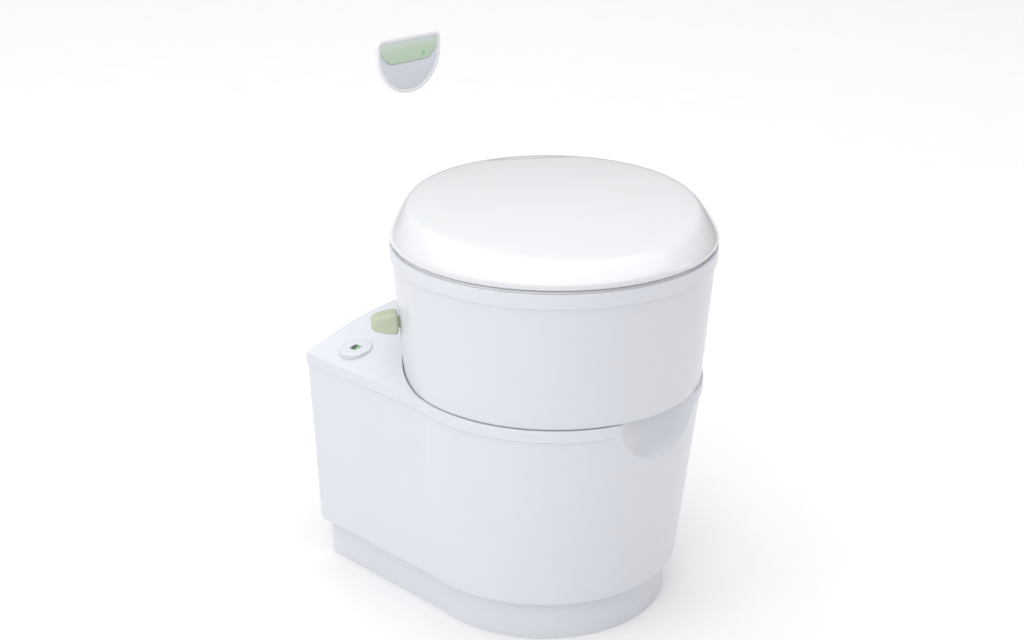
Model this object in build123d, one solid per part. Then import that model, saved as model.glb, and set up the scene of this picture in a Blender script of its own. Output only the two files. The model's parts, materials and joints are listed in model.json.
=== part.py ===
from build123d import *
import os
from math import sin, cos, tan, radians, sqrt

# Swivel-bowl cassette toilet. Millimetres. Origin: swivel axis at floor level.
# +Z up, +Y towards the wall it stands against, front is -Y.
# The bowl group is drawn in its own straight-ahead frame and turned by BOWL_TURN.

# ---------------------------------------------------------------- dimensions
WALL_Y = 261.0          # wall plane behind the toilet
RIM_Z = 300.0           # top of the console's rim
BAND_Z = 285.5          # underside of the proud rim band
BAND_R, BAND_HW = 188.5, 184.0
TOP_R, TOP_HW = 186.0, 181.8      # console just under the band
LOW_R, LOW_HW, LOW_CY = 173.6, 171.3, 15.5   # console at the toe-kick
KICK_Z = 54.0
KICK_R, KICK_HW, KICK_CY = 157.9, 155.9, 13.6
CROWN_Z = 333.5         # crown of the rear deck
WELL_R = 186.6          # well in the deck for the drum
LEDGE_R = 158.6         # hole in the ledge under the drum
WALL = 4.0

BOWL_TURN = -36.3       # resting swivel angle
DRUM_R0, DRUM_Z0 = 185.5, 300.8
DRUM_R1, DRUM_Z1 = 196.6, 453.0
RIM_R, RIM_TOP = 199.6, 472.0
COLLAR_R = 156.0

HINGE_Y, HINGE_Z = 160.5, 521.4   # seat and lid axis
ROLL_R = 6.0            # rolled rear edge of the lid, concentric with the axis
KNUCKLE_R, PIN_R = 4.2, 2.0
LID_SLOPE = 0.085       # the lid's top falls towards the front
LID_EDGE_R, LID_EDGE_Z = 177.0, 513.4   # top edge: radius, and height at its middle
LID_EDGE_Y = 3.7        # the top edge's centre sits a little to the rear

KNOB_Z = 375.0
KNOB_S0, KNOB_S1 = 192.5, 225.5
CRANK = 64.0
BLADE_TRAVEL = 90.5

TANK_HW, TANK_Y0, TANK_Y1 = 142.0, -92.0, 250.0
TANK_Z0, TANK_MID, TANK_Z1 = 12.0, 120.0, 196.0

PANEL_Z = 664.0         # centre of the panel's round lower half
PANEL_R = 54.0
PANEL_TOP = 683.5
PANEL_Y = 254.5         # front of the panel

os.makedirs("parts", exist_ok=True)
NODES = {}


def put(name, *solids):
    out = []
    for s in solids:
        out += list(s.solids()) if hasattr(s, "solids") else list(s)
    NODES[name] = out


def cyl(r, x, y, z0, z1):
    return Pos(x, y, (z0 + z1) / 2) * Cylinder(r, z1 - z0)


def cyl_x(r, x0, x1, y, z):
    return Pos((x0 + x1) / 2, y, z) * Rot(0, 90, 0) * Cylinder(r, x1 - x0)


def cyl_y(r, x, y0, y1, z):
    return Pos(x, (y0 + y1) / 2, z) * Rot(90, 0, 0) * Cylinder(r, y1 - y0)


def box(x0, x1, y0, y1, z0, z1):
    return Pos((x0 + x1) / 2, (y0 + y1) / 2, (z0 + z1) / 2) * Box(x1 - x0, y1 - y0, z1 - z0)


def turn_z(pts):
    # solid of revolution about Z from a closed list of (r, z)
    w = Polyline(*[(r, 0, z) for r, z in pts], close=True)
    return revolve(make_face(w), Axis.Z, 360)


def outline(z, r, hw, cy, yb):
    # round front merged into a straight-sided rear
    dy = sqrt(r * r - hw * hw)
    arc = ThreePointArc((hw, cy + dy, z), (0, cy - r, z), (-hw, cy + dy, z))
    ln = Polyline((-hw, cy + dy, z), (-hw, yb, z), (hw, yb, z), (hw, cy + dy, z))
    return make_face(Wire([arc, *ln.edges()]))


def drum_prism(z0, z1, a, b):
    return loft([outline(z0, *a).face(), outline(z1, *b).face()], ruled=True)


def slab(z0, z1, r, hw, cy, yb):
    return extrude(outline(z0, r, hw, cy, yb), z1 - z0, dir=(0, 0, 1))


def yz_prism(x0, x1, pts):
    f = make_face(Polyline(*[(x0, y, z) for y, z in pts], close=True))
    return extrude(f, x1 - x0, dir=(1, 0, 0))


def xz_prism(y0, y1, pts):
    f = make_face(Polyline(*[(x, y0, z) for x, z in pts], close=True))
    return extrude(f, y1 - y0, dir=(0, 1, 0))


# ---------------------------------------------------------------- console
outer = drum_prism(KICK_Z, BAND_Z, (LOW_R, LOW_HW, LOW_CY, WALL_Y), (TOP_R, TOP_HW, 0, WALL_Y))
inner = drum_prism(KICK_Z + 3, BAND_Z + 0.01, (LOW_R - WALL, LOW_HW - WALL, LOW_CY, WALL_Y - WALL),
                   (TOP_R - WALL, TOP_HW - WALL, 0, WALL_Y - WALL))
shell = outer - inner
shell -= slab(KICK_Z - 1, KICK_Z + 5, KICK_R - WALL, KICK_HW - WALL, KICK_CY, WALL_Y - WALL)
# rear service opening for the tank
shell -= box(-150, 150, WALL_Y - 20, WALL_Y + 5, KICK_Z - 2, 252)
# finger recess in the front: part of an ellipsoid let into the wall
REC_Y, REC_Z = -203.0, 300.0            # centre of the ellipsoid
REC_A, REC_B, REC_C = 105.8, 40.0, 72.7   # its half axes
rec_in = Pos(0, REC_Y, REC_Z) * scale(Sphere(1.0), by=(REC_A, REC_B, REC_C))
rec_out = Pos(0, REC_Y, REC_Z) * scale(Sphere(1.0), by=(REC_A + 3, REC_B + 3, REC_C + 3))
cup = (rec_out & outer) - rec_in
cup = cup - box(-100, 100, -200, 0, BAND_Z, 400)
console = (shell - rec_in) + cup
put("console_shell", console)

kick = slab(0, KICK_Z, KICK_R, KICK_HW, KICK_CY, 259.0)
kick -= slab(4, KICK_Z + 1, KICK_R - WALL, KICK_HW - WALL, KICK_CY, 259.0 - WALL)
kick -= box(-150, 150, 240, 270, 6, KICK_Z + 1)
FIX = [(-115, -70), (115, -70), (-115, 230), (115, 230)]   # floor fixing holes
for x, y in FIX:
    kick -= cyl(2.75, x, y, -1, 5)
put("plinth_tray", kick)

# deck: rim band, crowned rear cover and the ledge the drum turns above
hw = BAND_HW
band = slab(BAND_Z, RIM_Z, BAND_R, hw, 0, WALL_Y)
foot = slab(BAND_Z, 345, BAND_R, hw, 0, WALL_Y)
arc_o = make_face(Wire([ThreePointArc((-hw, 30, RIM_Z), (0, 30, CROWN_Z), (hw, 30, RIM_Z)),
                        Line((hw, 30, RIM_Z), (-hw, 30, RIM_Z))]))
crown = extrude(arc_o, WALL_Y - 30, dir=(0, 1, 0))
T = 3.0
arc_i = make_face(Wire([ThreePointArc((-hw + 2, 30, RIM_Z - T), (0, 30, CROWN_Z - T), (hw - 2, 30, RIM_Z - T)),
                        Line((hw - 2, 30, RIM_Z - T), (-hw + 2, 30, RIM_Z - T))]))
crown_in = extrude(arc_i, WALL_Y - 30 - T, dir=(0, 1, 0))
pocket = slab(BAND_Z - 1, RIM_Z - T, BAND_R - 3.5, hw - 3.5, 0, WALL_Y - T) + crown_in
pocket &= slab(BAND_Z - 1, 345, BAND_R - 3.5, hw - 3.5, 0, WALL_Y - T)
deck = band + crown - (pocket - cyl(WELL_R + 2.6, 0, 0, BAND_Z - 5, 350))
deck -= turn_z([(0, RIM_Z), (WELL_R, RIM_Z), (WELL_R + 4.4, RIM_Z + 60), (0, RIM_Z + 60)])
deck -= cyl(LEDGE_R, 0, 0, BAND_Z - 5, RIM_Z + 1)
# ledge thinned from below to a 4 mm web inside the well wall
deck -= cyl(WELL_R - 3.0, 0, 0, BAND_Z - 5, RIM_Z - 4.0) - cyl(LEDGE_R + 4, 0, 0, BAND_Z - 6, RIM_Z)
deck -= rec_in
rec_lip = ((rec_out - rec_in) & slab(BAND_Z, RIM_Z, BAND_R, hw, 0, WALL_Y)) - cyl(LEDGE_R, 0, 0, 200, 400)
deck += rec_lip
# level indicator seat on the crowned deck
IND_X, IND_Y = -150.5, 201.5
RC = (hw * hw + (CROWN_Z - RIM_Z) ** 2) / (2 * (CROWN_Z - RIM_Z))   # crown radius
ind_z = CROWN_Z - RC + sqrt(RC * RC - IND_X * IND_X)
tilt = -(180 / 3.141592653589793) * (IND_X / RC)   # local slope of the crown
ind = Pos(IND_X, IND_Y, ind_z) * Rot(0, -tilt, 0)
deck -= ind * Box(11, 20, 30)
put("top_deck", deck)
rot = Pos(IND_X, IND_Y, ind_z + 0.6) * Rot(0, -9.0, 0)   # the round bezel lies flatter than the crown
put("indicator_bezel", rot * (Pos(0, 0, 0.2) * Cylinder(21.5, 7.0)) - crown - rot * Box(12.2, 12.2, 30))
put("indicator_lens", rot * (Pos(0, 0, 1.1) * Box(12, 12, 1.6)))
# flag slides in Y under the lens
put("indicator_flag", rot * (Pos(0, -3, -2.3) * Box(9.6, 8, 1.6)))

# bearing plate that carries the turning bowl
plate = cyl(150, 0, 0, 262, 266) - cyl(56, 0, 0, 261, 267)
arms = box(-177.4, 177.4, 80, 110, 262, 266) + box(-170, 170, -60, -30, 262, 266)
plate_s = (plate + arms) - cyl(56, 0, 0, 261, 267)
plate_s &= drum_prism(KICK_Z + 3, BAND_Z, (LOW_R - WALL - .1, LOW_HW - WALL - .1, LOW_CY, 256), (TOP_R - WALL - .1, TOP_HW - WALL - .1, 0, 256))
SCREWS = [(66 * cos(radians(a)), 66 * sin(radians(a))) for a in (45, 135, 225, 315)]
for x, y in SCREWS:
    plate_s -= cyl(1.7, x, y, 260, 268)
put("bearing_plate", plate_s)
put("turntable_ring", turn_z([(146, 266), (158, 266), (158, 271.7), (146, 271.7)]))
chute = turn_z([(50, 222), (53, 222), (53, 266), (75, 266), (75, 269), (50, 269)])
for x, y in SCREWS:
    chute -= cyl(1.7, x, y, 260, 270)
put("drop_chute", chute)
put("chute_screws", *[cyl(1.6, x, y, 260, 269.5) + cyl(3.4, x, y, 269, 271.4) for x, y in SCREWS])

# tank runners on the tray floor
put("tank_runners", box(-106, -98, -60, 250, 4, 11.7), box(98, 106, -60, 250, 4, 11.7))

# water and electrics behind the bearing plate
put("flush_pump", cyl_x(17, -60, 10, 222, 288) + cyl_x(6, 10, 24, 222, 288))
put("inlet_valve", box(60, 96, 208, 240, 276, 300) + cyl(6, 78, 224, 300, 312))
put("water_pipe", cyl_x(5, 24.05, 59.95, 222, 288))
put("control_box", box(-136, -70, 196, 244, 268, 298))
put("service_shelf", box(-140, 140, 192, 250, 262, 266) - cyl(150.3, 0, 0, 200, 300))

# ---------------------------------------------------------------- wall panel
def dface(y, r, top, inset=0.0):
    a = ThreePointArc((r, y, PANEL_Z), (0, y, PANEL_Z - r), (-r, y, PANEL_Z))
    k = 8.0 if r > 40 else 4
    p = Polyline((-r, y, PANEL_Z), (-r, y, top - k), (-r + k, y, top), (r - k, y, top), (r, y, top - k), (r, y, PANEL_Z))
    return make_face(Wire([a, *p.edges()]))

def dprism(y0, y1, r, top):
    return extrude(dface(y0, r, top), y1 - y0, dir=(0, 1, 0))

SPLIT_Z = 650.5         # lowest point of the key's curved lower edge
put("panel_back", dprism(258.5, WALL_Y, PANEL_R - 1.5, PANEL_TOP - 1.5))
bez = dprism(PANEL_Y, 258.5, PANEL_R, PANEL_TOP) - dprism(PANEL_Y - 1, 259.5, PANEL_R - 4.5, PANEL_TOP - 4.5)
put("panel_bezel", bez)
win = dprism(PANEL_Y + 1.2, 258.5, PANEL_R - 4.6, PANEL_TOP - 4.6)
put("panel_face", win - cyl_y(98, 0, 245, 265, SPLIT_Z + 98))
btn = dprism(PANEL_Y + 0.4, PANEL_Y + 2.6, PANEL_R - 4.9, PANEL_TOP - 4.9) & cyl_y(97.5, 0, 245, 265, SPLIT_Z + 98)
put("flush_button", btn - box(19.9, 26.1, 248, 262, 655.9, 659.6))
put("panel_led", box(20, 26, PANEL_Y + 0.1, 258.5, 656, 659.5))

# ---------------------------------------------------------------- bowl group
B = Rot(0, 0, BOWL_TURN)


def bput(name, *solids):
    out = []
    for s in solids:
        for q in s.solids():
            out.append(B * q)
    NODES[name] = out


drum = turn_z([
    (COLLAR_R, 272), (COLLAR_R, DRUM_Z0), (DRUM_R0, DRUM_Z0), (DRUM_R1, DRUM_Z1), (RIM_R, DRUM_Z1 + 1.5),
    (RIM_R, RIM_TOP), (RIM_R - 4, RIM_TOP), (RIM_R - 4, DRUM_Z1 + 4), (DRUM_R1 - 3.5, DRUM_Z1 - 1),
    (DRUM_R0 - 3.3, DRUM_Z0 + 3.5), (44, DRUM_Z0 + 3.5), (44, DRUM_Z0), (COLLAR_R - 5, DRUM_Z0), (COLLAR_R - 5, 272)])
drum -= cyl_x(17.0, -205, -150, 0, KNOB_Z)
bput("bowl_housing", drum)

basin = turn_z([
    (42, 310), (48, 310), (52, 316), (72, 336), (100, 366), (124, 404), (137, 444), (141, 466), (195.4, 466), (195.4, 474),
    (134, 474), (131, 464), (130, 445), (118, 408), (94, 370), (66, 341), (46, 322), (42, 316)])
bput("bowl_basin", basin)
bput("outlet_seal", turn_z([(42.5, 309.4), (47, 309.4), (47, 310), (42.5, 310)]))

# flush nozzle under the basin rim at the rear
noz = (cyl_y(7, 0, 108, 126, 448) + cyl(9, 0, 114, 440, 452)) - turn_z([(0, 300), (400, 300), (400, 420), (400, 480), (130.0, 480), (130.5, 464), (129.5, 445), (117, 408), (0, 300)])
bput("flush_nozzle", noz)

# blade, its rails and the knob-driven crank
z_b = DRUM_Z0 + 3.5
blade = cyl(50, 0, 0, z_b + .5, z_b + 4.5) & box(-50, 50, -50, 50, 0, 400)
blade += box(-56, 50, -40, 44, z_b + .5, z_b + 4.5)
cy = -CRANK * sin(radians(45))
blade += box(-127.5, -51, cy - 9, cy + 9, z_b + 4.5, z_b + 8.5)
blade += box(-134, -125, cy - 9.5, cy - 5.6, z_b + 4.5, 335) + box(-134, -125, cy + 5.6, cy + 9.5, z_b + 4.5, 335)
bput("bowl_blade", blade)
bput("blade_rails", box(-63, -56.5, -60, 138, z_b, z_b + 3.9),
     (box(50.5, 58, -60, 148, z_b, z_b + 8) - box(49, 54, -61, 149, z_b - 1, z_b + 4.9)))
esc = cyl_x(16.9, -192, -180, 0, KNOB_Z) - cyl_x(15.0, -193, -182, 0, KNOB_Z) - cyl_x(4.06, -200, -170, 0, KNOB_Z)
bput("knob_escutcheon", esc & turn_z([(0, 300), (188.8, 345.2), (193.4, 408), (0, 408)]))
kb = Pos(-KNOB_S0, 0, KNOB_Z) * Rot(0, -90, 0)
k1 = loft([(kb * Pos(0, 0, 0.0) * RectangleRounded(24.5, 23.5, 8)).face(),
           (kb * Pos(0, 0, 3.0) * RectangleRounded(28.0, 27.0, 10)).face(),
           (kb * Pos(0, 0, 15.0) * RectangleRounded(26.0, 24.0, 9)).face(),
           (kb * Pos(0, 0, 27.0) * RectangleRounded(20.5, 18.0, 8)).face(),
           (kb * Pos(0, 0, KNOB_S1 - KNOB_S0) * RectangleRounded(13.0, 11.0, 5.0)).face()])
neck = cyl_x(7.5, -KNOB_S0, -KNOB_S0 + 7, 0, KNOB_Z)
knob = (k1 + neck) - cyl_x(4.0, -215, -180, 0, KNOB_Z)
bput("blade_knob", knob)
bput("knob_shaft", cyl_x(4.0, -215, -134, 0, KNOB_Z))
lever = yz_prism(-141, -135, [(-6, 0), (6, 0), (4.5, -CRANK), (-4.5, -CRANK)])
lever = lever + cyl_x(7.5, -141, -135, 0, 0) + cyl_x(5, -141, -135, 0, -CRANK) + cyl_x(3, -135.2, -128.2, 0, -CRANK)
lever = Pos(0, 0, KNOB_Z) * Rot(-45, 0, 0) * lever
lever -= cyl_x(4.0, -200, -120, 0, KNOB_Z)
bput("blade_lever", lever)
brk = box(-151, -146, -14, 14, z_b, KNOB_Z + 10) - cyl_x(4.06, -160, -140, 0, KNOB_Z)
bput("shaft_bracket", brk)

# ---- hinge, seat and lid
posts = []
rod = cyl_x(PIN_R, -72, 72, HINGE_Y, HINGE_Z)
for s in (-1, 1):
    x0, x1 = sorted((s * 31.0, s * 43.0))
    p = yz_prism(x0, x1, [(128, 474), (150, 474), (HINGE_Y + 3, HINGE_Z - 2.8), (HINGE_Y - 3, HINGE_Z + 2.0)])
    p += cyl_x(KNUCKLE_R, x0, x1, HINGE_Y, HINGE_Z)
    p -= cyl_x(PIN_R, x0 - 1, x1 + 1, HINGE_Y, HINGE_Z)
    posts.append(p)
bput("hinge_posts", *posts)
bput("hinge_rod", rod)


def dome_rings(off):
    # (radius, centre y, height at the middle, slope) from the lower edge to the crown
    out = [(195.0 - off, 0, 475.2, 0), (197.6 - off, 0, 476.8, 0), (199.4 - off, 0, 480.0, 0)]
    n = 7
    for i in range(n + 1):
        t = i / n
        f, g = t ** 1.24, 1 - (1 - t) ** 1.1
        r = 199.8 - (199.8 - LID_EDGE_R) * f
        out.append((r - off, LID_EDGE_Y * f, 483.3 + (LID_EDGE_Z - 483.3) * g - off * g, LID_SLOPE * g * LID_EDGE_R / r))
    for r, up in ((150.0, 2.4), (115.0, 4.8), (75.0, 6.4), (35.0, 7.2)):
        out.append((r, LID_EDGE_Y, LID_EDGE_Z + up - off, LID_SLOPE))
    return out


def dome(off):
    faces = [Plane(origin=(0, cy_, z_), x_dir=(1, 0, 0), z_dir=(0, -k_, 1)) * Circle(r_) for r_, cy_, z_, k_ in dome_rings(off)]
    return loft([f.face() for f in faces], ruled=True)


dome_o = dome(0)
dome_i = dome(3.0) + cyl(192.0, 0, 0, 460, 475.3)
lid = (dome_o - dome_i) & box(-250, 250, -250, HINGE_Y, 400, 600)
roll = cyl_x(ROLL_R, -98, 98, HINGE_Y, HINGE_Z) & dome_o
lid = lid + roll
for s in (-1, 1):
    x0, x1 = sorted((s * 30.3, s * 56.2))
    # window for the post and the seat's knuckle under a thin rolled roof
    lid -= cyl_x(KNUCKLE_R + 0.5, x0, x1, HINGE_Y, HINGE_Z)
    lid -= box(x0, x1, HINGE_Y - 8, HINGE_Y + 8, 490, HINGE_Z + 2.4)
    lid -= box(x0, x1, HINGE_Y, HINGE_Y + 8, 490, HINGE_Z + 4.2)
lid -= cyl_x(PIN_R + 0.06, -80, 80, HINGE_Y, HINGE_Z)
bput("lid", max(lid.solids(), key=lambda q: q.volume))

cov = dome_o & box(-130, 130, HINGE_Y, 260, 400, 600)
cov -= dome(3.0) & box(-300, 300, HINGE_Y + 11, 300, 400, 600)
cov -= cyl_x(ROLL_R + 0.45, -140, 140, HINGE_Y, HINGE_Z)
cov -= box(-140, 140, 100, HINGE_Y + ROLL_R + 1.3, HINGE_Z, 600)
cov -= box(-140, 140, 100, HINGE_Y + 0.8, 400, 600)
cov -= box(-62, 62, 100, HINGE_Y + 8.0, 400, HINGE_Z - 4)
cov -= cyl(300, 0, 0, 400, 475.4)
bput("hinge_cover", max(cov.solids(), key=lambda q: q.volume))

seat = cyl(182, 0, 0, 478, 488.0) & box(-200, 200, -200, 118, 470, 500)
seat = fillet(seat.edges().group_by(Axis.Z)[-1], 4.0)
op = extrude(Pos(0, -12, 477) * Ellipse(104, 122), 20, dir=(0, 0, 1))
seat = seat - op
for s in (-1, 1):
    x0, x1 = sorted((s * 43.6, s * 55.8))
    a = yz_prism(x0, x1, [(108, 479), (108, 487), (HINGE_Y - 3, HINGE_Z + 2.0), (HINGE_Y + 3, HINGE_Z - 2.8)])
    a += cyl_x(KNUCKLE_R, x0, x1, HINGE_Y, HINGE_Z)
    seat += a
seat -= cyl_x(PIN_R + 0.06, -80, 80, HINGE_Y, HINGE_Z)
bput("seat_ring", seat)
buf = []
for x, y in [(-110, -118), (110, -118), (-138, 60), (138, 60)]:
    buf.append(cyl(6, x, y, 474.3, 478))
bput("seat_buffers", *buf)
lbuf = []
for x, y in [(-88, -112), (88, -112)]:
    lbuf.append(cyl(5, x, y, 488.4, 521) & dome_i)
bput("lid_buffers", *lbuf)

# ---------------------------------------------------------------- waste tank
def tank_slab(z0, z1, off, y1):
    hwt, y0, R = TANK_HW - off, TANK_Y0 + off, 90.0 - off
    f = make_face(Wire([
        Line((hwt, y0 + R, z0), (hwt, y1, z0)), Line((hwt, y1, z0), (-hwt, y1, z0)), Line((-hwt, y1, z0), (-hwt, y0 + R, z0)),
        ThreePointArc((-hwt, y0 + R, z0), (-hwt + R * (1 - cos(radians(45))), y0 + R * (1 - sin(radians(45))), z0), (-hwt + R, y0, z0)),
        Line((-hwt + R, y0, z0), (hwt - R, y0, z0)),
        ThreePointArc((hwt - R, y0, z0), (hwt - R * (1 - cos(radians(45))), y0 + R * (1 - sin(radians(45))), z0), (hwt, y0 + R, z0))]))
    return extrude(f, z1 - z0, dir=(0, 0, 1))


wells = box(114, 150, -54, -4, 0, 54) + box(-150, -114, -54, -4, 0, 54)
wells_o = box(110, 150, -58, 0, 0, 58) + box(-150, -110, -58, 0, 0, 58)
low = tank_slab(TANK_Z0, TANK_MID, 0, TANK_Y1)
cav = tank_slab(TANK_Z0 + 4, TANK_MID + 1, 4, TANK_Y1 - 4) - wells_o
low = low - cav - wells
low -= cyl_x(4.0, -118, 118, -29, 29) - box(-110.2, 110.2, -60, 0, 0, 60)
put("tank_lower", low)
up = tank_slab(TANK_MID, TANK_Z1, 0, TANK_Y1) - tank_slab(TANK_MID - 1, TANK_Z1 - 4, 4, TANK_Y1 - 4)
up -= cyl(52, 0, 0, 180, 220)
SP_X, SP_Y = 98.0, 205.0
up -= cyl(18, SP_X, SP_Y, 180, 220)
up -= cyl(9.3, -118, 234, 180, 220)
put("tank_upper", up)

fr = box(-66, 66, -66, 176, 196, 199) + box(-66, -60.5, -66, 176, 199, 205) + box(60.5, 66, -66, 176, 199, 205) \
    + box(-60.5, 60.5, -66, -60.5, 199, 205) + box(-66, 66, -66, 176, 205, 208)
fr -= cyl(52, 0, 0, 190, 230)
put("blade_frame", fr)
tb = cyl(58, 0, 0, 199.5, 204.5) + box(-58, 58, 0, 60, 199.5, 204.5)
put("tank_blade", tb)
put("lip_seal", turn_z([(52, 208), (62, 208), (62, 214), (58, 218), (54, 218), (52, 214)]))

sp = cyl(24, SP_X, SP_Y, 196.2, 200) + cyl(19, SP_X, SP_Y, 200, 226) + cyl_x(19, -68, SP_X, SP_Y, 224.5) + Pos(SP_X, SP_Y, 224.5) * Sphere(19)
sp -= cyl(16, SP_X, SP_Y, 190, 224.5) + cyl_x(16, -70, SP_X, SP_Y, 224.5) + Pos(SP_X, SP_Y, 224.5) * Sphere(16)
put("pour_spout", sp)
cap = cyl_x(23, -80, -56, SP_Y, 224.5) - cyl_x(19.06, -77, -50, SP_Y, 224.5)
for k in range(12):
    a = radians(30 * k)
    cap -= cyl_x(2.2, -85, -50, SP_Y + 24 * cos(a), 224.5 + 24 * sin(a))
put("spout_cap", cap)
put("vent_button", cyl(9.2, -118, 234, 188, 203) + cyl(11.5, -118, 234, 201, 205))
ax = []
for s in (-1, 1):
    x0, x1 = sorted((s * 110.2, s * 135))
    ax.append(cyl_x(4.0, x0, x1, -29, 29))
put("wheel_axles", *ax)
for nm, s in (("tank_wheel_left", -1), ("tank_wheel_right", 1)):
    x0, x1 = sorted((s * 117, s * 132))
    put(nm, cyl_x(19, x0, x1, -29, 29) - cyl_x(4.08, x0 - 1, x1 + 1, -29, 29)
        - (cyl_x(14, s * 127 - 6 if s > 0 else s * 127 - 6, s * 127 + 6, -29, 29) - cyl_x(8, -140, 140, -29, 29)) & box(-150, 150, -60, 60, 0, 60))
# carry handle folded against the rear face, pivoted at its upper corners
HZ = 172.0
bail = box(-64, -57, 251.2, 257.6, 112, HZ + 2.8) + box(57, 64, 251.2, 257.6, 112, HZ + 2.8) + box(-64, 64, 251.2, 257.6, 104, 112)
bail -= cyl_x(2.05, -70, 70, 254.4, HZ)
put("carry_handle", bail)
ear = []
for s in (-1, 1):
    x0, x1 = sorted((s * 50.5, s * 56.5))
    ear.append(box(x0, x1, 250.0, 257.8, HZ - 5, HZ + 5) + cyl_x(2.0, min(x0, s * 63), max(x1, s * 63), 254.4, HZ))
put("handle_lugs", *ear)

# float arm inside the tank
fa = Pos(-108, 90, 184) * Rot(-35, 0, 0) * (cyl_y(2.5, 0, 0, 82, 0) + Pos(0, 92, 0) * Sphere(13) + cyl_x(5, -5, 5, 0, 0) - cyl_x(2.05, -9, 9, 0, 0))
put("float_arm", fa)
put("float_pivot", (box(-122, -114, 84, 96, 180, 192) + box(-102, -94, 84, 96, 180, 192)) + cyl_x(2.0, -115, -101, 90, 184))

for name, solids in NODES.items():
    c = Compound(children=solids) if len(solids) > 1 else solids[0]
    export_step(c, f"parts/{name}.step")
print(len(NODES), "nodes")
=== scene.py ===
import bpy, bmesh, json
from math import sin, cos, pi, radians, degrees, sqrt, asin, atan2, hypot
from mathutils import Vector, Matrix


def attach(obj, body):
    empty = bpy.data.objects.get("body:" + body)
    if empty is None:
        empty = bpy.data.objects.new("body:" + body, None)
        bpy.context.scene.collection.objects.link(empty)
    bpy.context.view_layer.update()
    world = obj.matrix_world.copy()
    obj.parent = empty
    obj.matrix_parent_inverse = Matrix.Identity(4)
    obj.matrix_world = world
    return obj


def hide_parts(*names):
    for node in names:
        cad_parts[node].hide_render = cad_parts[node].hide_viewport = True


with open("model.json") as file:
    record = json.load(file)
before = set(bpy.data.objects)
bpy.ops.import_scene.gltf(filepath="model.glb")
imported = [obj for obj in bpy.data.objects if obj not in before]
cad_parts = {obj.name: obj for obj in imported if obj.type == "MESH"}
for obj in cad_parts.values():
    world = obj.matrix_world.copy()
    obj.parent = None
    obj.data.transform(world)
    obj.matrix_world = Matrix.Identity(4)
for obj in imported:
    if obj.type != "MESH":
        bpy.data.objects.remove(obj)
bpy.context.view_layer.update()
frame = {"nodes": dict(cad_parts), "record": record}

MM = 0.001
NODES = frame["nodes"]
scene = bpy.context.scene
COLL = scene.collection
BOWL = Matrix.Rotation(radians(-36.3), 4, "Z")

# ------------------------------------------------------------------ dimensions, mm
WALL_Y, BAND_Z, RIM_Z, CROWN_Z, KICK_Z = 261.0, 285.5, 300.0, 333.5, 54.0
BAND = (188.5, 184.0, 0.0, WALL_Y)
TOP = (186.0, 181.8, 0.0, WALL_Y)
LOW = (173.6, 171.3, 15.5, WALL_Y)
KICK = (157.9, 155.9, 13.6, 259.0)
WELL_R, LEDGE_R = 186.15, 158.6
REC_Y, REC_Z, REC_A, REC_B, REC_C = -203.0, 300.0, 105.8, 40.0, 72.7
HINGE_Y, HINGE_Z, ROLL_R = 160.5, 521.4, 6.0
KNOB_Z = 375.0
PANEL_Z, PANEL_R, PANEL_TOP = 664.0, 54.0, 683.5


# ------------------------------------------------------------------ mesh helpers
def finish_mesh(ob, angle=34.0):
    bm = bmesh.new()
    bm.from_mesh(ob.data)
    bmesh.ops.remove_doubles(bm, verts=bm.verts, dist=2e-6)
    bmesh.ops.dissolve_degenerate(bm, edges=bm.edges, dist=1e-6)
    bmesh.ops.recalc_face_normals(bm, faces=bm.faces)
    lim = radians(angle)
    for f in bm.faces:
        f.smooth = True
    for e in bm.edges:
        e.smooth = not (len(e.link_faces) != 2 or e.calc_face_angle(0.0) > lim)
    bm.to_mesh(ob.data)
    bm.free()
    ob.data.update()


def new_obj(name, verts, faces, matrix=None, angle=34.0, smooth=True):
    me = bpy.data.meshes.new(name)
    if matrix is not None:
        verts = [matrix @ Vector(v) for v in verts]
    me.from_pydata([(v[0] * MM, v[1] * MM, v[2] * MM) for v in verts], [], faces)
    me.validate()
    ob = bpy.data.objects.new(name, me)
    COLL.objects.link(ob)
    if smooth:
        finish_mesh(ob, angle)
    return ob


def loft(rings, closed_path=False, caps=(False, False)):
    """Quads between rings of equal length, each ring a closed loop."""
    n, verts, faces = len(rings[0]), [], []
    for r in rings:
        verts += r
    m = len(rings)
    for i in range(m if closed_path else m - 1):
        a, b = i * n, ((i + 1) % m) * n
        for k in range(n):
            k2 = (k + 1) % n
            faces.append((a + k, a + k2, b + k2, b + k))
    if caps[0]:
        faces.append(tuple(range(n))[::-1])
    if caps[1]:
        faces.append(tuple((m - 1) * n + k for k in range(n)))
    return verts, faces


def rounded_path(pts, radii, steps=5):
    """Closed path of (r, z) corners with arcs of the given radii."""
    out, n = [], len(pts)
    for i, (p, rad) in enumerate(zip(pts, radii)):
        p = Vector(p)
        a, b = Vector(pts[i - 1]), Vector(pts[(i + 1) % n])
        u, w = (a - p), (b - p)
        la, lb = u.length, w.length
        u, w = u / la, w / lb
        ang = u.angle(w)
        if rad <= 0 or ang > pi - 0.02:
            out.append(tuple(p))
            continue
        d = min(rad / abs(sin(ang / 2) / cos(ang / 2)), la * 0.48, lb * 0.48)
        r = d * sin(ang / 2) / cos(ang / 2)
        c = p + (u + w).normalized() * (r / sin(ang / 2))
        s, e = p + u * d - c, p + w * d - c
        tot = s.angle(e)
        sg = 1 if s.x * e.y - s.y * e.x > 0 else -1
        for k in range(steps + 1):
            t = sg * tot * k / steps
            out.append((c.x + s.x * cos(t) - s.y * sin(t), c.y + s.x * sin(t) + s.y * cos(t)))
    return out


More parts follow.
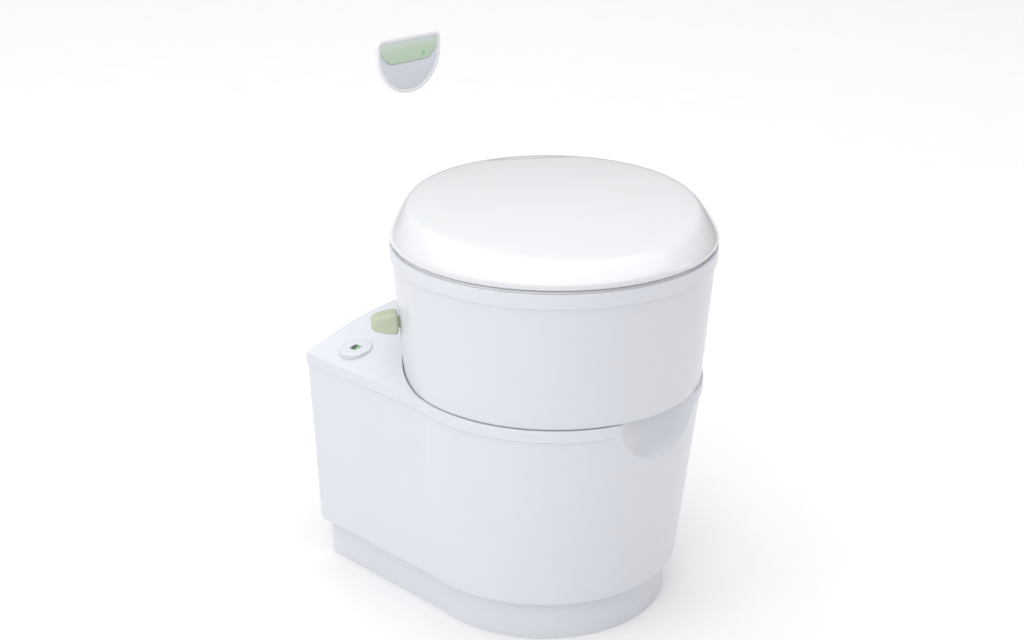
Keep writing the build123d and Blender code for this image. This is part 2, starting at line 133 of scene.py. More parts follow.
def revolve(name, path, segs=288, matrix=None, angle=34.0):
    rings = [[(r * cos(2 * pi * k / segs), r * sin(2 * pi * k / segs), z) for k in range(segs)] for r, z in path]
    v, f = loft(rings, closed_path=True)
    return new_obj(name, v, f, matrix, angle)


def block(x0, x1, y0, y1, z0, z1):
    v = [(x, y, z) for z in (z0, z1) for y in (y0, y1) for x in (x0, x1)]
    f = [(0, 2, 3, 1), (4, 5, 7, 6), (0, 1, 5, 4), (2, 6, 7, 3), (0, 4, 6, 2), (1, 3, 7, 5)]
    return v, f


def rod_x(r, x0, x1, y, z, n=96):
    rings = [[(x, y + r * cos(2 * pi * k / n), z + r * sin(2 * pi * k / n)) for k in range(n)] for x in (x0, x1)]
    return loft(rings, caps=(True, True))


def tool(v, f, matrix=None):
    return new_obj("tool", v, f, matrix)


def carve(ob, v, f, op="DIFFERENCE", matrix=None):
    t = tool(v, f, matrix)
    m = ob.modifiers.new("cut", "BOOLEAN")
    m.object, m.operation, m.solver = t, op, "EXACT"
    dg = bpy.context.evaluated_depsgraph_get()
    me = bpy.data.meshes.new_from_object(ob.evaluated_get(dg))
    ob.modifiers.clear()
    old = ob.data
    ob.data = me
    bpy.data.meshes.remove(old)
    bpy.data.objects.remove(t)
    return ob


def soften(ob, width, segs=3, angle=35.0):
    m = ob.modifiers.new("edge", "BEVEL")
    m.width, m.segments, m.limit_method = width * MM, segs, "ANGLE"
    m.angle_limit = radians(angle)
    m.use_clamp_overlap = True
    m.harden_normals = True
    return ob


# ------------------------------------------------------------------ materials
MATS = {}


def plastic(name, colour, rough=0.3, coat=0.0, vary=0.03, grain=140.0, bump=0.03, metallic=0.0, spec=0.5, big=9.0):
    m = bpy.data.materials.new(name)
    m.use_nodes = True
    nt = m.node_tree
    nt.nodes.clear()
    out = nt.nodes.new("ShaderNodeOutputMaterial")
    b = nt.nodes.new("ShaderNodeBsdfPrincipled")
    nt.links.new(b.outputs[0], out.inputs[0])
    tc = nt.nodes.new("ShaderNodeTexCoord")
    broad = nt.nodes.new("ShaderNodeTexNoise")
    broad.inputs["Scale"].default_value = big
    broad.inputs["Detail"].default_value = 4
    fine = nt.nodes.new("ShaderNodeTexNoise")
    fine.inputs["Scale"].default_value = grain * 6
    fine.inputs["Detail"].default_value = 3
    nt.links.new(tc.outputs["Object"], broad.inputs["Vector"])
    nt.links.new(tc.outputs["Object"], fine.inputs["Vector"])
    ramp = nt.nodes.new("ShaderNodeValToRGB")
    ramp.color_ramp.elements[0].position, ramp.color_ramp.elements[1].position = 0.3, 0.7
    ramp.color_ramp.elements[0].color = tuple(c * (1 - vary) for c in colour) + (1,)
    ramp.color_ramp.elements[1].color = tuple(min(1, c * (1 + vary * 0.5)) for c in colour) + (1,)
    nt.links.new(broad.outputs["Fac"], ramp.inputs["Fac"])
    nt.links.new(ramp.outputs["Color"], b.inputs["Base Color"])
    mr = nt.nodes.new("ShaderNodeMapRange")
    mr.inputs["To Min"].default_value, mr.inputs["To Max"].default_value = rough * 0.85, rough * 1.15
    nt.links.new(fine.outputs["Fac"], mr.inputs["Value"])
    nt.links.new(mr.outputs["Result"], b.inputs["Roughness"])
    bp = nt.nodes.new("ShaderNodeBump")
    bp.inputs["Strength"].default_value = bump
    bp.inputs["Distance"].default_value = 0.0004
    nt.links.new(fine.outputs["Fac"], bp.inputs["Height"])
    nt.links.new(bp.outputs["Normal"], b.inputs["Normal"])
    b.inputs["Metallic"].default_value = metallic
    b.inputs["Specular IOR Level"].default_value = spec
    b.inputs["Coat Weight"].default_value = coat
    b.inputs["Coat Roughness"].default_value = 0.08
    MATS[name] = m
    return m


def graded(name, low, high, z0, z1, rough=0.35):
    """Plastic whose colour runs from low at height z0 to high at z1, in metres."""
    m = plastic(name, low, rough=rough, vary=0.02, bump=0.02)
    nt = m.node_tree
    b = [n for n in nt.nodes if n.type == "BSDF_PRINCIPLED"][0]
    tc = [n for n in nt.nodes if n.type == "TEX_COORD"][0]
    ramp = [n for n in nt.nodes if n.type == "VALTORGB"][0]
    sep = nt.nodes.new("ShaderNodeSeparateXYZ")
    nt.links.new(tc.outputs["Object"], sep.inputs[0])
    mr = nt.nodes.new("ShaderNodeMapRange")
    mr.interpolation_type = "SMOOTHSTEP"
    mr.inputs["From Min"].default_value, mr.inputs["From Max"].default_value = z0, z1
    nt.links.new(sep.outputs["Z"], mr.inputs["Value"])
    mix = nt.nodes.new("ShaderNodeMix")
    mix.data_type = "RGBA"
    nt.links.new(mr.outputs["Result"], mix.inputs[0])
    nt.links.new(ramp.outputs["Color"], mix.inputs[6])
    mix.inputs[7].default_value = tuple(high) + (1,)
    nt.links.new(mix.outputs[2], b.inputs["Base Color"])
    return m


plastic("body_white", (0.700, 0.717, 0.768), rough=0.30, coat=0.25, vary=0.012, bump=0.02)
plastic("lid_white", (0.760, 0.769, 0.793), rough=0.17, coat=0.5, vary=0.010, bump=0.012)
plastic("basin_white", (0.82, 0.83, 0.85), rough=0.18, coat=0.5, vary=0.012, bump=0.012)
plastic("knob_green", (0.50, 0.56, 0.41), rough=0.42, vary=0.05, bump=0.06)
plastic("panel_silver", (0.86, 0.86, 0.90), rough=0.32, vary=0.02, bump=0.03)
plastic("panel_grey", (0.72, 0.745, 0.82), rough=0.34, vary=0.02, bump=0.03)
graded("panel_green", (0.54, 0.69, 0.52), (0.70, 0.76, 0.73), 0.662, 0.681)
plastic("led_green", (0.36, 0.66, 0.38), rough=0.25, vary=0.05, bump=0.02)
plastic("lens_clear", (0.16, 0.52, 0.20), rough=0.12, coat=0.6, vary=0.06, bump=0.01)
# painted shadow: one side of the lens, cut off by a straight edge, is mixed to dark green, standing in for the
# shade of the recessed window's upper-left wall
nt_ = MATS["lens_clear"].node_tree
dot_ = nt_.nodes.new("ShaderNodeVectorMath")
dot_.operation = "DOT_PRODUCT"
dot_.inputs[1].default_value = (0.443, -0.968, 0.0)
nt_.links.new([n for n in nt_.nodes if n.type == "TEX_COORD"][0].outputs["Object"], dot_.inputs[0])
map_ = nt_.nodes.new("ShaderNodeMapRange")
map_.interpolation_type = "SMOOTHSTEP"
map_.inputs["From Min"].default_value, map_.inputs["From Max"].default_value = -0.2642, -0.2600
nt_.links.new(dot_.outputs["Value"], map_.inputs["Value"])
mix_ = nt_.nodes.new("ShaderNodeMix")
mix_.data_type = "RGBA"
nt_.links.new(map_.outputs["Result"], mix_.inputs[0])
mix_.inputs[6].default_value = (0.008, 0.055, 0.022, 1)
nt_.links.new([n for n in nt_.nodes if n.type == "VALTORGB"][0].outputs["Color"], mix_.inputs[7])
nt_.links.new(mix_.outputs[2], [n for n in nt_.nodes if n.type == "BSDF_PRINCIPLED"][0].inputs["Base Color"])
plastic("flag_green", (0.02, 0.16, 0.06), rough=0.35, vary=0.05, bump=0.03)
plastic("seal_black", (0.03, 0.03, 0.033), rough=0.6, vary=0.2, bump=0.1)
plastic("buffer_grey", (0.42, 0.43, 0.45), rough=0.6, vary=0.06, bump=0.08)
plastic("tank_grey", (0.42, 0.44, 0.47), rough=0.5, vary=0.04, bump=0.25, grain=60)
plastic("tank_dark", (0.05, 0.055, 0.065), rough=0.45, vary=0.1, bump=0.2, grain=60)
plastic("mech_plastic", (0.70, 0.70, 0.67), rough=0.4, vary=0.03, bump=0.05)
plastic("steel", (0.55, 0.56, 0.58), rough=0.28, vary=0.06, bump=0.05, metallic=1.0)


def place(ob, body, node, slot, mat=None):
    ob.data.materials.clear()
    ob.data.materials.append(MATS[mat or slot])
    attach(ob, body)
    for n in (node if isinstance(node, (list, tuple)) else [node]):
        if n:
            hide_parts(n)
    return ob


# ------------------------------------------------------------------ console, deck
NA, NS, NB = 420, 26, 40


def outline(r, hw, cy, yb, inset=0.0, back=None):
    r, hw = r - inset, hw - inset
    yb = yb - (inset if back is None else back)
    dy = sqrt(max(r * r - hw * hw, 0))
    t0 = atan2(dy, hw)
    pts = []
    for k in range(NA + 1):
        t = t0 - (pi + 2 * t0) * k / NA
        pts.append((r * cos(t), cy + r * sin(t)))
    for k in range(1, NS + 1):
        pts.append((-hw, cy + dy + (yb - cy - dy) * k / NS))
    for k in range(1, NB + 1):
        pts.append((-hw + 2 * hw * k / NB, yb))
    for k in range(1, NS):
        pts.append((hw, yb + (cy + dy - yb) * k / NS))
    return pts


def recess_r(x, y, z, grow=0.0):
    """Radius at which the finger recess starts along this direction, or None."""
    r = hypot(x, y)
    c, s = x / r, y / r
    a, b, cc = REC_A + grow, REC_B + grow, REC_C + grow
    A = c * c / (a * a) + s * s / (b * b)
    B = -2 * s * REC_Y / (b * b)
    C = (REC_Y / b) ** 2 + ((z - REC_Z) / cc) ** 2 - 1
    d = B * B - 4 * A * C
    if d <= 0 or s > 0:
        return None
    return (-B - sqrt(d)) / (2 * A)


def pull(pts, z, grow=0.0):
    out = []
    for x, y in pts:
        e = recess_r(x, y, z, grow)
        r = hypot(x, y)
        if e is not None and e < r:
            k = e / r
            x, y = x * k, y * k
        out.append((x, y, z))
    return out


def mixp(a, b, t):
    return tuple(p + (q - p) * t for p, q in zip(a, b))


levels = [(54.0, 3.2), (54.5, 1.7), (55.6, 0.6), (57.2, 0.0)] + [(60 + 24 * k, 0.0) for k in range(7)]
levels += [(z, 0.0) for z in [216 + 2.2 * k for k in range(31)]] + [(284.4, 0.0), (285.45, 0.0)]
rings = []
for z, ins in levels:
    t = (z - KICK_Z) / (BAND_Z - KICK_Z)
    rings.append(pull(outline(*mixp(LOW, TOP, t), inset=ins, back=min(ins, 0.0)), z))
inner = []
for z in (285.4, 280, 270, 260, 250, 240, 230, 215, 160, 100, 57.0):
    t = (z - KICK_Z) / (BAND_Z - KICK_Z)
    inner.append(pull(outline(*mixp(LOW, TOP, t), inset=4.0), z, grow=3.0))
rings += inner
rings.append([(x, y, 57.0) for x, y in outline(*KICK, inset=4.0)])
rings.append([(x, y, 54.0) for x, y in outline(*KICK, inset=4.0)])
v, f = loft(rings, closed_path=True)
console = new_obj("console_body", v, f, angle=38)
carve(console, *block(-150, 150, 241, 270, 53.5, 252))
finish_mesh(console, 38)
place(console, "base", "console_shell", "body_white")


def crown(x, y):
    if y < 20:
        return RIM_Z
    h = (CROWN_Z - RIM_Z)
    RC = (184.0 * 184.0 + h * h) / (2 * h)
    return max(RIM_Z, CROWN_Z - RC + sqrt(max(RC * RC - x * x, 0.0)))


base = outline(*BAND)
sections = []
FR = 3.0
for x, y in base:
    R = hypot(x, y)
    c, s = x / R, y / R
    sec = []

    az = degrees(atan2(y, x))
    # the band's step fades out before the finger recess
    fade = 0.0
    if -119 < az < -66:
        fade = min(1.0, (az + 119) / 8.0, (-66 - az) / 7.0)
        fade = fade * fade * (3 - 2 * fade)
    RB = R - 2.5 * fade

    def lim(z, R=RB, x=x, y=y):
        e = recess_r(x, y, z)
        return min(R, e) if e is not None else R
    fr = 2.2
    top = crown(c * (R - fr), s * (R - fr))
    zs = [BAND_Z, BAND_Z + 0.9] + [BAND_Z + 0.9 + (top - fr - BAND_Z - 0.9) * k / 6 for k in range(1, 7)]
    sec.append((lim(zs[0]) - 0.8 * (1 - fade), zs[0]))
    for z in zs[1:]:
        sec.append((lim(z), z))
    ro = lim(top - fr)
    for k in range(1, 6):
        a = pi / 2 * k / 5
        sec.append((ro - fr + fr * cos(a), top - fr + fr * sin(a)))
    start = ro - fr
    rise = crown(c * WELL_R, s * WELL_R) - RIM_Z
    if rise > 0.5 and R > 192:
        wz = RIM_Z + rise
        we = WELL_R + 4.4 / 60 * rise
        fw = min(1.6, rise * 0.45)
        end = we + fw
        for k in range(1, 13):
            r_ = start + (end - start) * k / 12
            sec.append((r_, crown(c * r_, s * r_)))
        zt = crown(c * end, s * end)
        for k in range(1, 5):
            a = pi / 2 * k / 4
            sec.append((end - fw * sin(a), zt - fw + fw * cos(a)))
        sec.append((WELL_R, RIM_Z))
    else:
        end = min(WELL_R, start - 0.1)
        for k in range(1, 13):
            r_ = start + (end - start) * k / 12
            sec.append((r_, RIM_Z if R <= 192 else crown(c * r_, s * r_)))
        for k in range(1, 5):
            sec.append((end - 0.02 * k, RIM_Z))
        sec.append((end - 0.1, RIM_Z))
    sec.append((LEDGE_R + 1.0, RIM_Z))
    sec.append((LEDGE_R, RIM_Z - 1.0))
    sec.append((LEDGE_R, RIM_Z - 4.0))
    sec.append((min(ro, RB) - 4.2, RIM_Z - 4.0))
    sec.append((min(lim(BAND_Z), RB) - 3.6, BAND_Z))
    # slot under the drum's edge, deep on the left and running out to the right
    if -107.0 <= az <= -84.0:
        dz = 3.4 * (1 - (az + 107.0) / 23.0)
        sec = [(r_, z - dz * max(0.0, z - BAND_Z - 1) / (RIM_Z - BAND_Z - 1)) for r_, z in sec[:-2]] + sec[-2:]
    sections.append([(c * r_, s * r_, z) for r_, z in sec])
m = len(sections[0])
rings = [[sec[i] for sec in sections] for i in range(m)]
v, f = loft(rings, closed_path=True)
deck = new_obj("deck_cover", v, f, angle=40)
RCR = (184.0 ** 2 + 33.5 ** 2) / (2 * 33.5)
IND_X, IND_Y = -150.5, 201.5
ind_z = CROWN_Z - RCR + sqrt(RCR ** 2 - IND_X ** 2)
HOLE = Matrix.Translation((IND_X, IND_Y, ind_z)) @ Matrix.Rotation(IND_X / RCR, 4, "Y")
IND = Matrix.Translation((IND_X, IND_Y, ind_z + 0.6)) @ Matrix.Rotation(radians(-9.0), 4, "Y")
carve(deck, *block(-5.5, 5.5, -10, 10, -15, 15), matrix=HOLE)
finish_mesh(deck, 40)
place(deck, "base", "top_deck", "body_white")

# level indicator: round bezel with a square window
ring_pts = []
N = 144


def sq(half, k, power=7.0):
    a = 2 * pi * k / N
    c, s = cos(a), sin(a)
    r = (abs(c) ** power + abs(s) ** power) ** (-1.0 / power)
    return (half * r * c, half * r * s)




def on_crown(x, y):
    """Local height of the deck under a point of the bezel."""
    z = 0.0
    for _ in range(6):
        p = IND @ Vector((x, y, z))
        z += crown(p.x, p.y) - p.z
    return z + 0.06


rings = []
for r, z in [(21.0, None), (21.4, None), (21.5, 1.7), (21.35, 2.4), (20.8, 3.05), (19.9, 3.45), (18.8, 3.6), (13.0, 3.68), (10.4, 3.66)]:
    pts = [(r * cos(2 * pi * k / N), r * sin(2 * pi * k / N)) for k in range(N)]
    rings.append([(x, y, on_crown(x, y) if z is None else z) for x, y in pts])
for h, z in [(7.0, 3.6), (6.5, 3.4), (6.2, 2.9), (6.1, 1.6), (6.1, None)]:
    rings.append([(*sq(h, k, 9.0), on_crown(*sq(h, k, 9.0)) if z is None else z) for k in range(N)])
v, f = loft(rings, closed_path=True)
place(new_obj("gauge_bezel", v, f, IND, 50), "base", "indicator_bezel", "body_white")
rings = []
for h, z in [(5.95, 0.35), (5.95, 1.5), (5.6, 1.8)]:
    rings.append([(*sq(h, k, 9.0), z) for k in range(N)])
v, f = loft(rings, caps=(True, True))
place(new_obj("gauge_window", v, f, IND, 50), "base", "indicator_lens", "lens_clear")

# ------------------------------------------------------------------ drum and basin
path = rounded_path(
    [(156, 272), (156, 300.8), (185.5, 300.8), (196.6, 453.0), (199.6, 454.6), (199.6, 472.0), (195.7, 472.0),
     (195.7, 457), (193.1, 452), (182.2, 304.3), (44, 304.3), (44, 300.8), (151, 300.8), (151, 272)],
    [0.6, 1, 2.4, 1.2, 1.4, 1.6, 0.4, 0.5, 2, 2, 0.6, 0.6, 1, 0.6], 6)
fine = []
for i, p in enumerate(path):
    q = path[(i + 1) % len(path)]
    fine.append(p)
    if abs(q[1] - p[1]) > 60:
        for k in range(1, 9):
            fine.append((p[0] + (q[0] - p[0]) * k / 9, p[1] + (q[1] - p[1]) * k / 9))
drum = revolve("drum_body", fine, 320, BOWL, 38)
carve(drum, *rod_x(17.0, -210, -150, 0, KNOB_Z), matrix=BOWL)
DISH_R, DISH_C = 43.3, 228.3


def about_knob(pairs, n=96):
    """Rings about the knob's axis from (radius, distance along it)."""
    return [[(-q, r * cos(2 * pi * k / n), KNOB_Z + r * sin(2 * pi * k / n)) for k in range(n)] for r, q in pairs]


v, f = loft(about_knob([(r, DISH_C - sqrt(DISH_R ** 2 - r * r)) for r in (0.3, 3, 6, 9, 12, 15, 18, 21, 24, 27, 30, 33)] + [(33, 212.0)]), caps=(True, True))
carve(drum, v, f, matrix=BOWL)
finish_mesh(drum, 38)
place(drum, "bowl", "bowl_housing", "body_white")

path = rounded_path(
    [(42, 310), (48, 310), (52, 316), (72, 336), (100, 366), (124, 404), (137, 444), (141, 466), (195.4, 466.2), (195.4, 474),
     (134, 474), (131, 464), (130, 445), (118, 408), (94, 370), (66, 341), (46, 322), (42, 316)],
    [0.4, 0.4, 4, 10, 20, 20, 20, 2, 0.6, 2.2, 3.5, 3, 18, 26, 26, 24, 8, 3], 6)
place(revolve("basin_liner", path, 256, BOWL, 40), "bowl", "bowl_basin", "basin_white")


# ------------------------------------------------------------------ lid and hinge cover
EDGE_Y, EDGE_R = 3.74, 176.9


def lid_z(x, y):
    return 520.7 + 0.087 * y - 0.00027 * y * y - 4.9 * (x / 180.0) ** 2


def lid_rings(off, n=320, low=None):
    out = []
    A = [2 * pi * k / n for k in range(n)]
    for r, z in ([(195.0, low)] if low else []) + [(194.2, 475.2), (196.4, 475.5), (198.3, 477.0), (199.4, 479.6)]:
        out.append([((r - off) * cos(a), (r - off) * sin(a), z) for a in A])
    steps = 14
    for i in range(steps + 1):
        t = i / steps
        fr_, g = t ** 1.242, 1 - (1 - t) ** 1.096
        r = 199.8 + (EDGE_R - 199.8) * fr_
        rg = []
        for a in A:
            zt = lid_z(EDGE_R * cos(a), EDGE_Y + EDGE_R * sin(a)) - off
            # the crest is rolled over a few millimetres
            soft = 1.1 * max(0.0, (t - 0.72) / 0.28) ** 2
            rg.append(((r - off) * cos(a), EDGE_Y * fr_ + (r - off) * sin(a), 483.0 + (zt - 483.0) * g - soft))
        out.append(rg)
    for r, soft in ((175.0, 0.62), (172.5, 0.30), (169, 0.10), (165, 0.0), (155, 0), (140, 0), (120, 0), (95, 0), (70, 0), (45, 0), (22, 0), (8, 0), (1.0, 0)):
        rg = []
        for a in A:
            x, y = r * cos(a), EDGE_Y + r * sin(a)
            rg.append((x, y, lid_z(x, y) - off - soft))
        out.append(rg)
    return out


def solid_of(rings):
    return loft(rings, caps=(True, True))


O = solid_of(lid_rings(0.0))
I = solid_of(lid_rings(3.0, low=470.0))
lid = new_obj("lid_shell", *O, angle=38)
carve(lid, *I)
carve(lid, *block(-250, 250, HINGE_Y, 300, 400, 600))
# rolled rear edge between the windows for posts and arms
for x0, x1 in ((-96.0, -56.2), (-30.3, 30.3), (56.2, 96.0)):
    t = new_obj("roll", *rod_x(ROLL_R, x0, x1, HINGE_Y, HINGE_Z, 72))
    carve(t, *O, op="INTERSECT")
    me = t.data
    rv = [tuple(c / MM for c in p.co) for p in me.vertices]
    rf = [tuple(p.vertices) for p in me.polygons]
    bpy.data.objects.remove(t)
    carve(lid, rv, rf, op="UNION")
for s in (-1, 1):
    x0, x1 = sorted((s * 30.3, s * 56.2))
    carve(lid, *rod_x(4.7, x0, x1, HINGE_Y, HINGE_Z, 48))
    carve(lid, *block(x0, x1, HINGE_Y - 8, HINGE_Y + 8, 490, HINGE_Z + 2.4))
carve(lid, *rod_x(2.06, -80, 80, HINGE_Y, HINGE_Z, 32))
lid.data.transform(BOWL)
finish_mesh(lid, 33)
soften(lid, 0.5, 2, 50)
place(lid, "cover", "lid", "lid_white")

cov = new_obj("hinge_hood", *O, angle=38)
carve(cov, *block(-260, 260, -260, HINGE_Y + 0.9, 400, 600))
t = new_obj("void", *I)
carve(t, *block(-260, 260, -260, HINGE_Y + 11, 400, 600))
iv = [tuple(c / MM for c in p.co) for p in t.data.vertices]
jf = [tuple(p.vertices) for p in t.data.polygons]
bpy.data.objects.remove(t)
carve(cov, iv, jf)
carve(cov, *rod_x(ROLL_R + 0.45, -140, 140, HINGE_Y, HINGE_Z, 96))
carve(cov, *block(-140, 140, 100, HINGE_Y + ROLL_R + 1.3, HINGE_Z, 600))
carve(cov, *block(-62, 62, 100, HINGE_Y + 8.0, 400, HINGE_Z - 4))
cov.data.transform(BOWL)
finish_mesh(cov, 33)
soften(cov, 0.5, 2, 50)
place(cov, "bowl", "hinge_cover", "lid_white")

# ------------------------------------------------------------------ knob
dish = [(r, DISH_C - sqrt(DISH_R ** 2 - r * r) - 0.05) for r in (16.4, 14, 12, 10, 8, 6.4, 5.2)]
v, f = loft(about_knob([(4.3, 180.1), (16.6, 180.1), (16.85, 180.4), (16.85, dish[0][1] - 0.2)] + dish + [(4.4, dish[-1][1] - 0.1), (4.1, dish[-1][1] - 0.5)]), closed_path=True)
place(new_obj("knob_dish", v, f, BOWL, 35), "bowl", "knob_escutcheon", "body_white")
N = 160


def knob_ring(s, w, h, power):
    out = []
    for k in range(N):
        a = 2 * pi * k / N
        c, d = cos(a), sin(a)
        r = (abs(c) ** power + abs(d) ** power) ** (-1.0 / power)
        out.append((-s, w / 2 * r * c, KNOB_Z + h / 2 * r * d))
    return out


prof = [(185.6, 14.8, 14.8, 2.0), (191.6, 14.8, 14.8, 2.0), (192.2, 15.2, 15.2, 2.0), (192.5, 17.0, 17.0, 2.2), (192.55, 23.0, 22.2, 3.2),
        (193.0, 25.4, 24.5, 4.2), (194.2, 27.2, 26.2, 5.0), (196.2, 28.0, 27.0, 5.6), (200.5, 27.7, 26.3, 6.0), (205.0, 26.9, 25.2, 6.0),
        (210.0, 25.6, 23.6, 6.0), (215.0, 23.9, 21.6, 5.6), (219.0, 22.2, 19.8, 5.2), (222.0, 20.2, 17.8, 4.6), (223.8, 17.6, 15.4, 4.0),
        (224.9, 14.2, 12.2, 3.4), (225.4, 9.5, 8.2, 2.8), (225.5, 2.0, 2.0, 2.0)]
v, f = loft([knob_ring(*p) for p in prof], caps=(True, True))
place(new_obj("blade_handle", v, f, BOWL, 50), "knob", "blade_knob", "knob_green")


# ------------------------------------------------------------------ wall panel
def d_outline(r, top, k, n=96):
    pts = []
    for i in range(n + 1):
        a = -pi * i / n
        pts.append((r * cos(a), PANEL_Z + r * sin(a)))
    z1 = top - k
    for i in range(1, 5):
        pts.append((-r, PANEL_Z + (z1 - PANEL_Z) * i / 4))
    for i in range(1, 9):
        a = pi / 2 * i / 8
        pts.append((-r + k - k * cos(a), z1 + k * sin(a)))
    for i in range(1, 17):
        pts.append((-r + k + (2 * r - 2 * k) * i / 16, top))
    for i in range(1, 9):
        a = pi / 2 * i / 8
        pts.append((r - k + k * sin(a), z1 + k * cos(a)))
    for i in range(1, 4):
        pts.append((r, z1 + (PANEL_Z - z1) * i / 4))
    return pts


def shrink(pts, d):
    n, out = len(pts), []
    for i in range(n):
        a, b = Vector(pts[i - 1]), Vector(pts[(i + 1) % n])
        t = (b - a).normalized()
        nrm = Vector((t.y, -t.x))
        out.append((pts[i][0] + nrm.x * d, pts[i][1] + nrm.y * d))
    return out


def ring_y(pts, y):
    return [(x, y, z) for x, z in pts]


OUT = d_outline(PANEL_R, PANEL_TOP, 9.0)
area = sum(OUT[i - 1][0] * OUT[i][1] - OUT[i][0] * OUT[i - 1][1] for i in range(len(OUT)))
SG = 1.0 if area < 0 else -1.0     # shrink() moves inwards for this winding


def D(ins):
    return d_outline(PANEL_R - ins, PANEL_TOP - ins, max(9.0 - ins, 3.0))


rings = [ring_y(D(0.5), 258.5), ring_y(D(0), 258.0), ring_y(D(0), 256.3), ring_y(D(0.25), 255.4), ring_y(D(0.8), 254.8), ring_y(D(1.6), 254.5),
         ring_y(D(4.3), 254.65), ring_y(D(4.9), 254.95), ring_y(D(5.2), 255.6), ring_y(D(5.2), 258.3)]
v, f = loft(rings, closed_path=True)
place(new_obj("panel_rim", v, f, None, 45), "base", "panel_bezel", "panel_silver")
rings = [ring_y(D(1.5), 261.0), ring_y(D(1.5), 258.9), ring_y(D(1.9), 258.55)]
v, f = loft(rings, caps=(True, True))
place(new_obj("panel_base", v, f, None, 45), "base", "panel_back", "panel_silver")


def low_edge(x):
    return 650.5 + 0.034 * max(abs(x) - 27.0, 0.0) ** 2


def zone(upper, ins):
    """Half of the face: above or below the dividing edge."""
    r, top = PANEL_R - 5.3 - ins, PANEL_TOP - 5.3 - ins
    n, up, lo = 60, [], []
    for i in range(n + 1):
        x = -r + 0.02 + (2 * r - 0.04) * i / n
        zb = PANEL_Z - sqrt(max(r * r - x * x, 0))
        d = abs(x) - (r - 4.0)
        zt = top - (4.0 - sqrt(max(16.0 - d * d, 0)) if d > 0 else 0.0)
        e = low_edge(x)
        if upper:
            lo.append((x, max(min(e + ins, zt - 0.05), zb))); up.append((x, zt))
        else:
            hi = min(max(e - 0.5 - ins, zb + 0.03), zt)
            lo.append((x, zb)); up.append((x, hi))
    return lo + up[::-1]


for nm, upper, y1, body, node, slot_ in (("panel_key", True, 255.1, "flush_key", "flush_button", "panel_green"), ("panel_field", False, 255.6, "base", "panel_face", "panel_grey")):
    rings = [ring_y(zone(upper, 0), 257.0 if upper else 258.4), ring_y(zone(upper, 0), y1 + 0.5), ring_y(zone(upper, 0.15), y1 + 0.2), ring_y(zone(upper, 0.6), y1)]
    v, f = loft(rings, caps=(True, True))
    ob = new_obj(nm, v, f, None, 45)
    if upper:
        vv, ff = block(19.9, 26.1, 240, 262, 655.9, 659.6)
        carve(ob, vv, ff)
        finish_mesh(ob, 45)
    place(ob, body, node, slot_)
rings = []
N = 48
for h, y in [(1.0, 258.3), (1.0, 255.4), (0.92, 255.15), (0.7, 255.05)]:
    rings.append([(23 + 2.9 * h * sq(1, k * 3, 5)[0], y, 657.75 + 1.65 * h * sq(1, k * 3, 5)[1]) for k in range(N)])
v, f = loft(rings, caps=(True, True))
place(new_obj("panel_lamp", v, f, None, 45), "base", "panel_led", "led_green")

# ------------------------------------------------------------------ CAD nodes kept as they are
SLOTS = {s["node"]: s["material_slot"] for s in frame["record"]["subparts"]}
DONE = {"knob_escutcheon", "console_shell", "top_deck", "indicator_bezel", "indicator_lens", "bowl_housing", "bowl_basin", "lid", "hinge_cover", "blade_knob",
        "panel_bezel", "panel_back", "flush_button", "panel_face", "panel_led"}
EDGE = {"plinth_tray": 0.8, "seat_ring": 1.2, "tank_lower": 2.0, "tank_upper": 2.0, "blade_frame": 0.6, "spout_cap": 0.5, "pour_spout": 0.5, "carry_handle": 0.8,
        "tank_wheel_left": 1.0, "tank_wheel_right": 1.0, "hinge_posts": 0.6, "blade_lever": 0.5, "shaft_bracket": 0.5, "vent_button": 0.5,
        "flush_pump": 0.6, "inlet_valve": 0.8, "control_box": 1.0, "service_shelf": 0.5, "bearing_plate": 0.5, "tank_blade": 0.4,
        "bowl_blade": 0.4, "handle_lugs": 0.4, "tank_runners": 0.5}
for name, ob in NODES.items():
    if name in DONE:
        continue
    ob.data.materials.clear()
    ob.data.materials.append(MATS[SLOTS[name]])
    if name in EDGE:
        soften(ob, EDGE[name], 2, 40)

# ------------------------------------------------------------------ floor, light, camera
fl = [(-9000, -9000, -0.4), (9000, -9000, -0.4), (9000, 9000, -0.4), (-9000, 9000, -0.4)]
floor = new_obj("floor_plane", fl, [(0, 1, 2, 3)])
fm = plastic("floor_pale", (0.80, 0.80, 0.802), rough=0.85, vary=0.01, bump=0.0, spec=0.1)
floor.data.materials.append(fm)
fb = [n for n in fm.node_tree.nodes if n.type == "BSDF_PRINCIPLED"][0]
fb.inputs["Emission Color"].default_value = (1, 1, 1, 1)
fb.inputs["Emission Strength"].default_value = 0.11

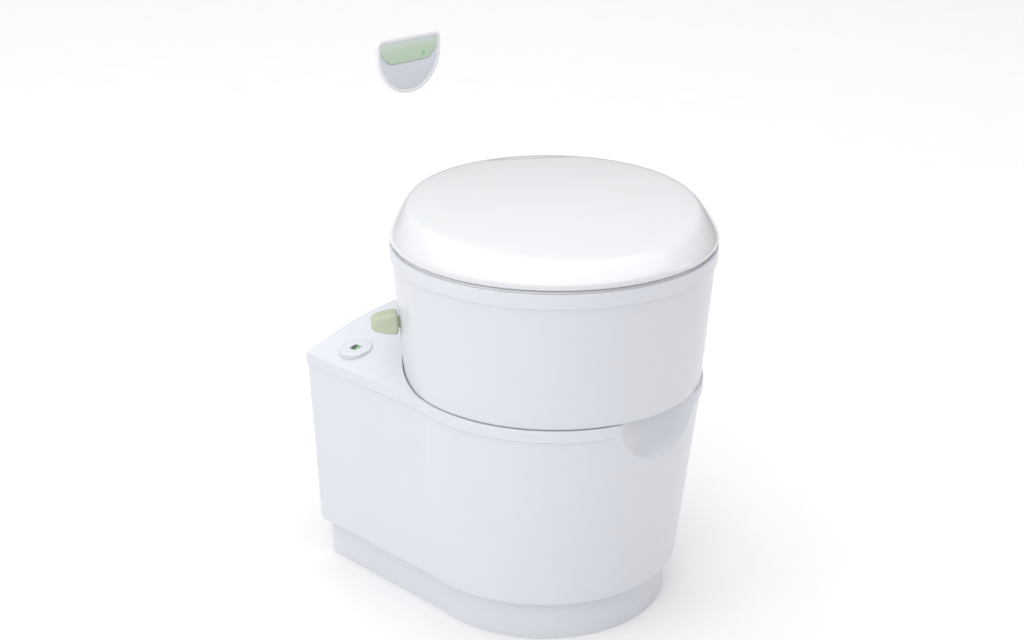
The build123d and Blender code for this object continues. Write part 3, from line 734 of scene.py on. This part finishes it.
world = bpy.data.worlds.new("studio")
scene.world = world
world.use_nodes = True
wn = world.node_tree
wn.nodes.clear()
wo = wn.nodes.new("ShaderNodeOutputWorld")
bg = wn.nodes.new("ShaderNodeBackground")
bg.inputs[0].default_value = (1.0, 1.0, 1.0, 1)
bg.inputs[1].default_value = 0.60
tc = wn.nodes.new("ShaderNodeTexCoord")
dv = wn.nodes.new("ShaderNodeVectorMath")
dv.operation = "DOT_PRODUCT"
dv.inputs[1].default_value = (-0.299, 0.058, 0.952)
wn.links.new(tc.outputs["Generated"], dv.inputs[0])
wm = wn.nodes.new("ShaderNodeMapRange")
wm.inputs["From Min"].default_value, wm.inputs["From Max"].default_value = -1.0, 1.0
wm.inputs["To Min"].default_value, wm.inputs["To Max"].default_value = -0.456, 1.056
wn.links.new(dv.outputs["Value"], wm.inputs["Value"])
wn.links.new(wm.outputs["Result"], bg.inputs[1])
wn.links.new(bg.outputs[0], wo.inputs[0])


def area(name, loc, target, size, power, colour=(1, 1, 1)):
    d = bpy.data.lights.new(name, "AREA")
    d.shape, d.size, d.size_y, d.energy, d.color = "RECTANGLE", size[0], size[1], power, colour
    o = bpy.data.objects.new(name, d)
    COLL.objects.link(o)
    o.location = loc
    o.rotation_euler = (Vector(target) - Vector(loc)).to_track_quat("-Z", "Y").to_euler()
    return o


area("key", (-2.2, -1.5, 2.3), (0, 0, 0.35), (1.8, 1.4), 13)
area("left_soft", (-2.8, 0.6, 1.5), (0, 0, 0.3), (1.6, 1.6), 9)
area("top", (0.3, 1.5, 6.0), (0.3, 1.5, 0.0), (9.0, 9.0), 205)
area("right_strip", (1.35, -1.15, 1.15), (0.05, -0.1, 0.5), (0.5, 0.7), 1.6)

cam = bpy.data.cameras.new("camera")
cob = bpy.data.objects.new("camera", cam)
COLL.objects.link(cob)
yaw = Vector((0.711, 0.703, 0)).normalized()
pt = radians(21.44)
fw = Vector((yaw.x * cos(pt), yaw.y * cos(pt), -sin(pt)))
rt = fw.cross(Vector((0, 0, 1))).normalized()
up = rt.cross(fw)
mat = Matrix((rt, up, -fw)).transposed().to_4x4()
mat.translation = Vector((-1.3598, -1.2692, 1.0893))
cob.matrix_world = mat
cam.sensor_width, cam.sensor_fit, cam.lens = 36.0, "HORIZONTAL", 56.54
cam.shift_x, cam.shift_y = 0.00225, 0.0044
scene.camera = cob
scene.view_settings.view_transform = "Standard"
